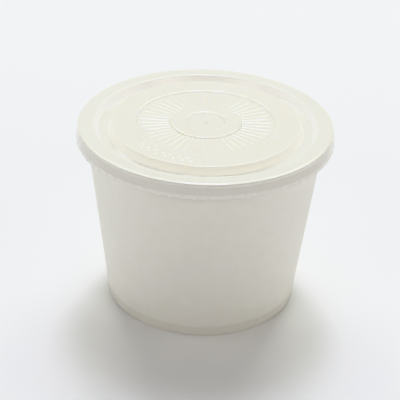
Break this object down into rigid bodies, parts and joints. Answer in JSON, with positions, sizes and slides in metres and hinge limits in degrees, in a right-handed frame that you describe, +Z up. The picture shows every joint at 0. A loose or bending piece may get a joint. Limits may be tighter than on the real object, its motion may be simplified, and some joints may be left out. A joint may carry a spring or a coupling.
{
  "type": "takeaway soup container",
  "caption": "Shut takeaway soup container: plain tapered paper cup with a rolled rim and a press-fit ribbed plastic lid with a raised centre and a skirt of small lugs.",
  "frame": {"origin": "middle of the base ring, on the table", "axes": "+Z up along the container's axis; it is round, so X and Y are free"},
  "size_m": [0.1014, 0.1014, 0.075],
  "materials": {
    "cup_paper": "matte off-white coated paperboard",
    "lid_plastic": "satin, slightly translucent cream polypropylene"
  },
  "bodies": {
    "root": {"cup": "cup_paper", "lid": "lid_plastic"}
  },
  "joints": []
}
